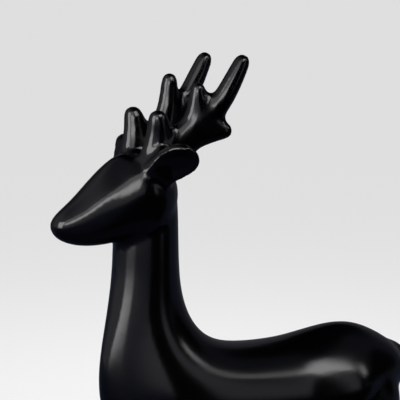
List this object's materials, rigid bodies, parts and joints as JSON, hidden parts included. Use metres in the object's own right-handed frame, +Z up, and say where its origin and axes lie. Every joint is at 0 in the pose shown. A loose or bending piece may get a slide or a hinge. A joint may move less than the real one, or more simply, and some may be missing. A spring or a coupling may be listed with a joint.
{
  "type": "deer figurine",
  "caption": "Standing deer figurine with a raised head and short rounded antlers, cast in one with a low oval base.",
  "frame": {"origin": "centre of the oval base's flat underside, on the surface it stands on", "axes": "+Z up; the deer looks along -Y and its left side is +X"},
  "size_m": [0.096, 0.2704, 0.3646],
  "materials": {
    "black_gloss": "black gloss lacquer, smooth with a fine orange peel"
  },
  "bodies": {
    "root": {"deer": "black_gloss"}
  },
  "joints": []
}
